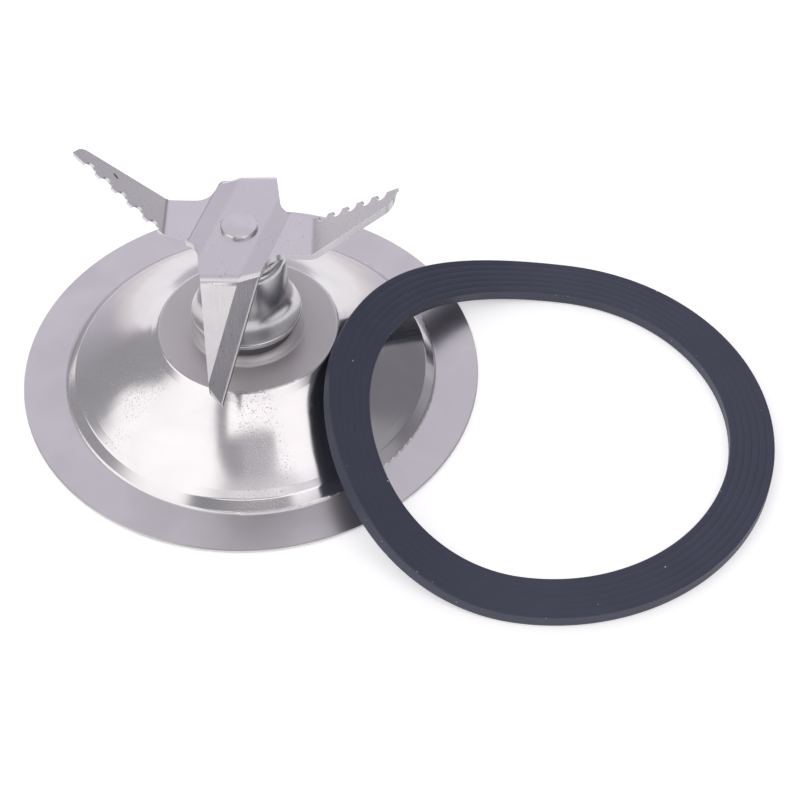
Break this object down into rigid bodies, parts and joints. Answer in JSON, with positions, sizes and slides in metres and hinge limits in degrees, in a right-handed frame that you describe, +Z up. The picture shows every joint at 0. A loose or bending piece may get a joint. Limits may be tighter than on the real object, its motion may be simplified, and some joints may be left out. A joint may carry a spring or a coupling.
{
  "type": "blender blade assembly",
  "caption": "Blade unit for a blender jar: a bent-wing blade on a shaft in a bell-shaped bearing housing, clamped to a stamped cone plate, with a rubber sealing ring leaning on it.",
  "frame": {"origin": "the shaft's axis in the plane of the flange's underside, where the unit stands", "axes": "+Z up along the shaft towards the blade, +X along one raised wing of the blade, towards the sealing ring"},
  "size_m": [0.13, 0.0942, 0.0477],
  "materials": {
    "blade_steel": "brushed",
    "plate_steel": "polished cone with a satin flange",
    "housing_steel": "polished",
    "turned_steel": "turned",
    "fastener_steel": "zinc plated",
    "bush_bronze": "sintered",
    "felt": "oiled felt",
    "black_rubber": "matte",
    "ring_rubber": "satin with fine ridges"
  },
  "bodies": {
    "base": {"base_plate": "plate_steel", "bearing_housing": "housing_steel", "upper_bush": "bush_bronze", "lower_bush": "bush_bronze", "oil_felt": "felt", "shaft_seal": "black_rubber", "housing_seal_washer": "black_rubber", "lock_washer": "fastener_steel", "housing_nut": "fastener_steel", "sealing_ring": "ring_rubber"},
    "rotor": {"blade": "blade_steel", "drive_shaft": "turned_steel", "spacer_collar": "turned_steel", "upper_thrust_washer": "turned_steel", "lower_thrust_washer": "turned_steel", "retaining_clip": "fastener_steel"}
  },
  "joints": [
    {"name": "blade_spin", "type": "hinge", "parent": "base", "child": "rotor", "pos_m": [0, 0, 0.02], "axis": [0, 0, 1], "continuous": true}
  ]
}
